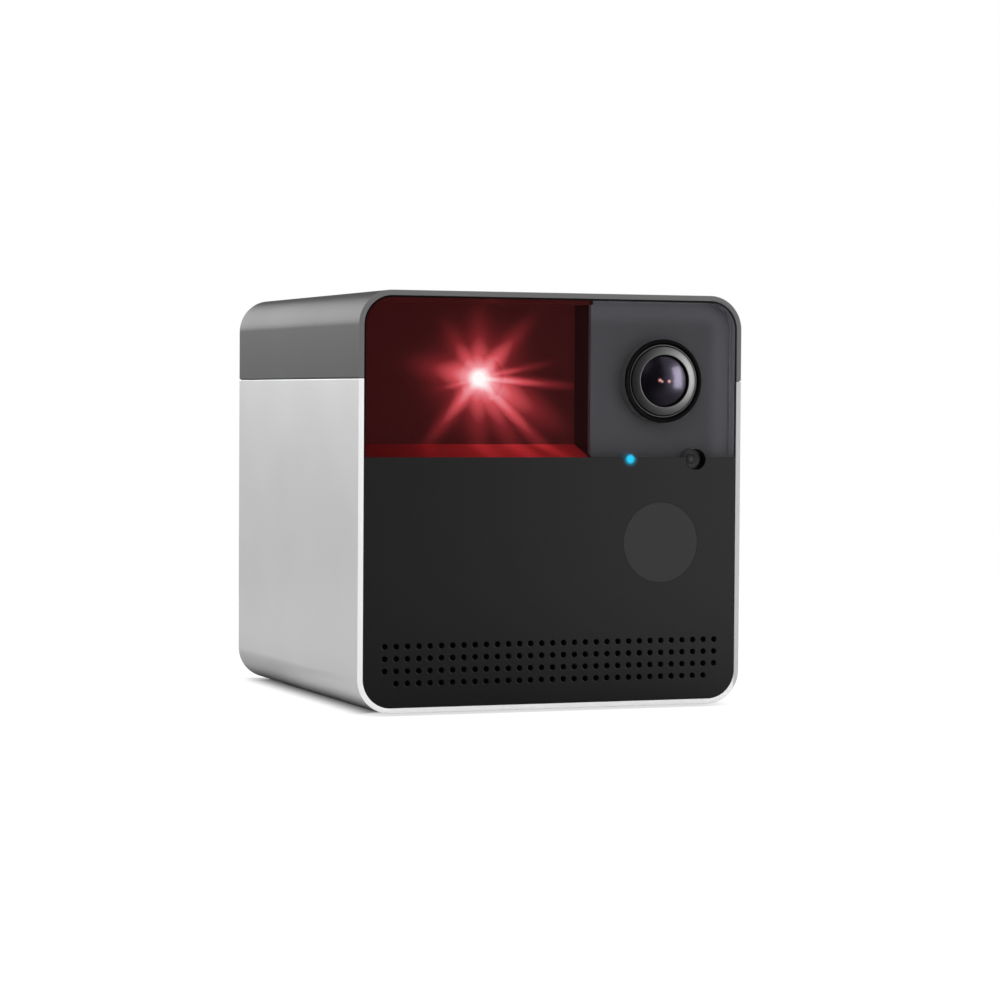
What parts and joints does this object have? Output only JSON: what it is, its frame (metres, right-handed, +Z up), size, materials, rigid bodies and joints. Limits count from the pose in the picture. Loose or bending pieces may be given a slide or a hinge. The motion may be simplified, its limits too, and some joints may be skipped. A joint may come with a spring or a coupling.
{
  "type": "pet camera",
  "caption": "Cube-shaped pet camera with a steerable laser behind a smoked window, a wide-angle lens, a speaker grille and a tripod thread.",
  "frame": {"origin": "on the table surface, under the middle of the body's box", "axes": "+Z up, the front faces -Y, +X to the right of a viewer in front"},
  "size_m": [0.081, 0.084, 0.0825],
  "materials": {
    "shell_aluminium": "bead blasted, clear anodised",
    "cap_plastic": "fine satin",
    "panel_plastic": "smooth gloss",
    "smoked_window": "smoked clear gloss",
    "rear_plastic": "fine satin",
    "inner_plastic": "plain moulded",
    "chamber_plastic": "dark, lit red by the laser",
    "pad_rubber": "matt",
    "brass": "turned",
    "steel": "plain",
    "plate_plastic": "smooth satin",
    "lens_ring": "black",
    "lens_metal": "turned, dark grey",
    "lens_glass": "coated",
    "clear_glass": "clear",
    "coil_copper": "enamelled wire",
    "board": "solder mask",
    "chip": "moulded",
    "night_window": "smooth, passes infrared",
    "status_pipe": "lit cyan",
    "sensor_plastic": "smooth",
    "cone_paper": "pressed",
    "gear_nylon": "moulded",
    "laser_optic": "red, lit",
    "sink_aluminium": "extruded",
    "flex": "polyimide film"
  },
  "bodies": {
    "housing": {"side_shell": "shell_aluminium", "top_cap": "cap_plastic", "front_panel": "panel_plastic", "front_window": "smoked_window", "rear_cover": "rear_plastic", "chassis": "inner_plastic", "foot_pad": "pad_rubber", "tripod_insert": "brass", "base_screws": "steel", "camera_plate": "plate_plastic", "lens_trim_ring": "lens_ring", "lens_barrel": "lens_metal", "lens_glass": "lens_glass", "lens_holder": "inner_plastic", "filter_coil": "coil_copper", "image_sensor": "chip", "camera_board": "board", "camera_screws": "steel", "night_window": "night_window", "night_board": "board", "night_leds": "clear_glass", "status_light_pipe": "status_pipe", "status_led": "chip", "light_sensor": "sensor_plastic", "microphone": "clear_glass", "front_board": "board", "speaker_gasket": "pad_rubber", "speaker_frame": "inner_plastic", "speaker_cone": "cone_paper", "speaker_magnet": "steel", "speaker_box": "inner_plastic", "laser_chamber": "chamber_plastic", "laser_bracket": "inner_plastic", "pan_bush": "brass", "pan_motor": "steel", "main_board": "board", "processor": "chip", "heat_sink": "sink_aluminium", "wifi_antenna": "flex", "power_socket": "steel", "reset_switch": "inner_plastic", "board_screws": "steel", "camera_ribbon": "flex"},
    "pan_head": {"pan_yoke": "inner_plastic", "pan_sector": "gear_nylon", "tilt_motor": "steel"},
    "pan_drive": {"pan_pinion": "gear_nylon"},
    "laser_head": {"laser_ball": "inner_plastic", "laser_barrel": "brass", "laser_lens": "laser_optic", "tilt_pins": "steel", "tilt_sector": "gear_nylon"},
    "tilt_drive": {"tilt_pinion": "gear_nylon"},
    "light_filter": {"filter_slider": "inner_plastic", "filter_glasses": "clear_glass"},
    "reset_key": {"reset_button": "rear_plastic"}
  },
  "joints": [
    {"name": "laser_pan", "type": "hinge", "parent": "housing", "child": "pan_head", "pos_m": [-0.0114, -0.0248, 0.0656], "axis": [0, 0, 1], "range_deg": [-30, 30]},
    {"name": "pan_pinion_spin", "type": "hinge", "parent": "housing", "child": "pan_drive", "pos_m": [-0.0114, -0.0138, 0.0656], "axis": [0, 0, 1], "continuous": true},
    {"name": "laser_tilt", "type": "hinge", "parent": "pan_head", "child": "laser_head", "pos_m": [-0.0114, -0.0248, 0.0656], "axis": [1, 0, 0], "range_deg": [-10, 30]},
    {"name": "tilt_pinion_spin", "type": "hinge", "parent": "pan_head", "child": "tilt_drive", "pos_m": [-0.0114, -0.01211, 0.07152], "axis": [1, 0, 0], "continuous": true},
    {"name": "filter_slide", "type": "slide", "parent": "housing", "child": "light_filter", "axis": [1, 0, 0], "range_m": [0, 0.006]},
    {"name": "reset_press", "type": "slide", "parent": "housing", "child": "reset_key", "axis": [0, -1, 0], "range_m": [0, 0.0003], "stiffness_N_per_m": 600}
  ],
  "couplings": [
    {"joint": "pan_pinion_spin", "follows": "laser_pan", "ratio": -2.6667},
    {"joint": "tilt_pinion_spin", "follows": "laser_tilt", "ratio": -3.6667}
  ]
}
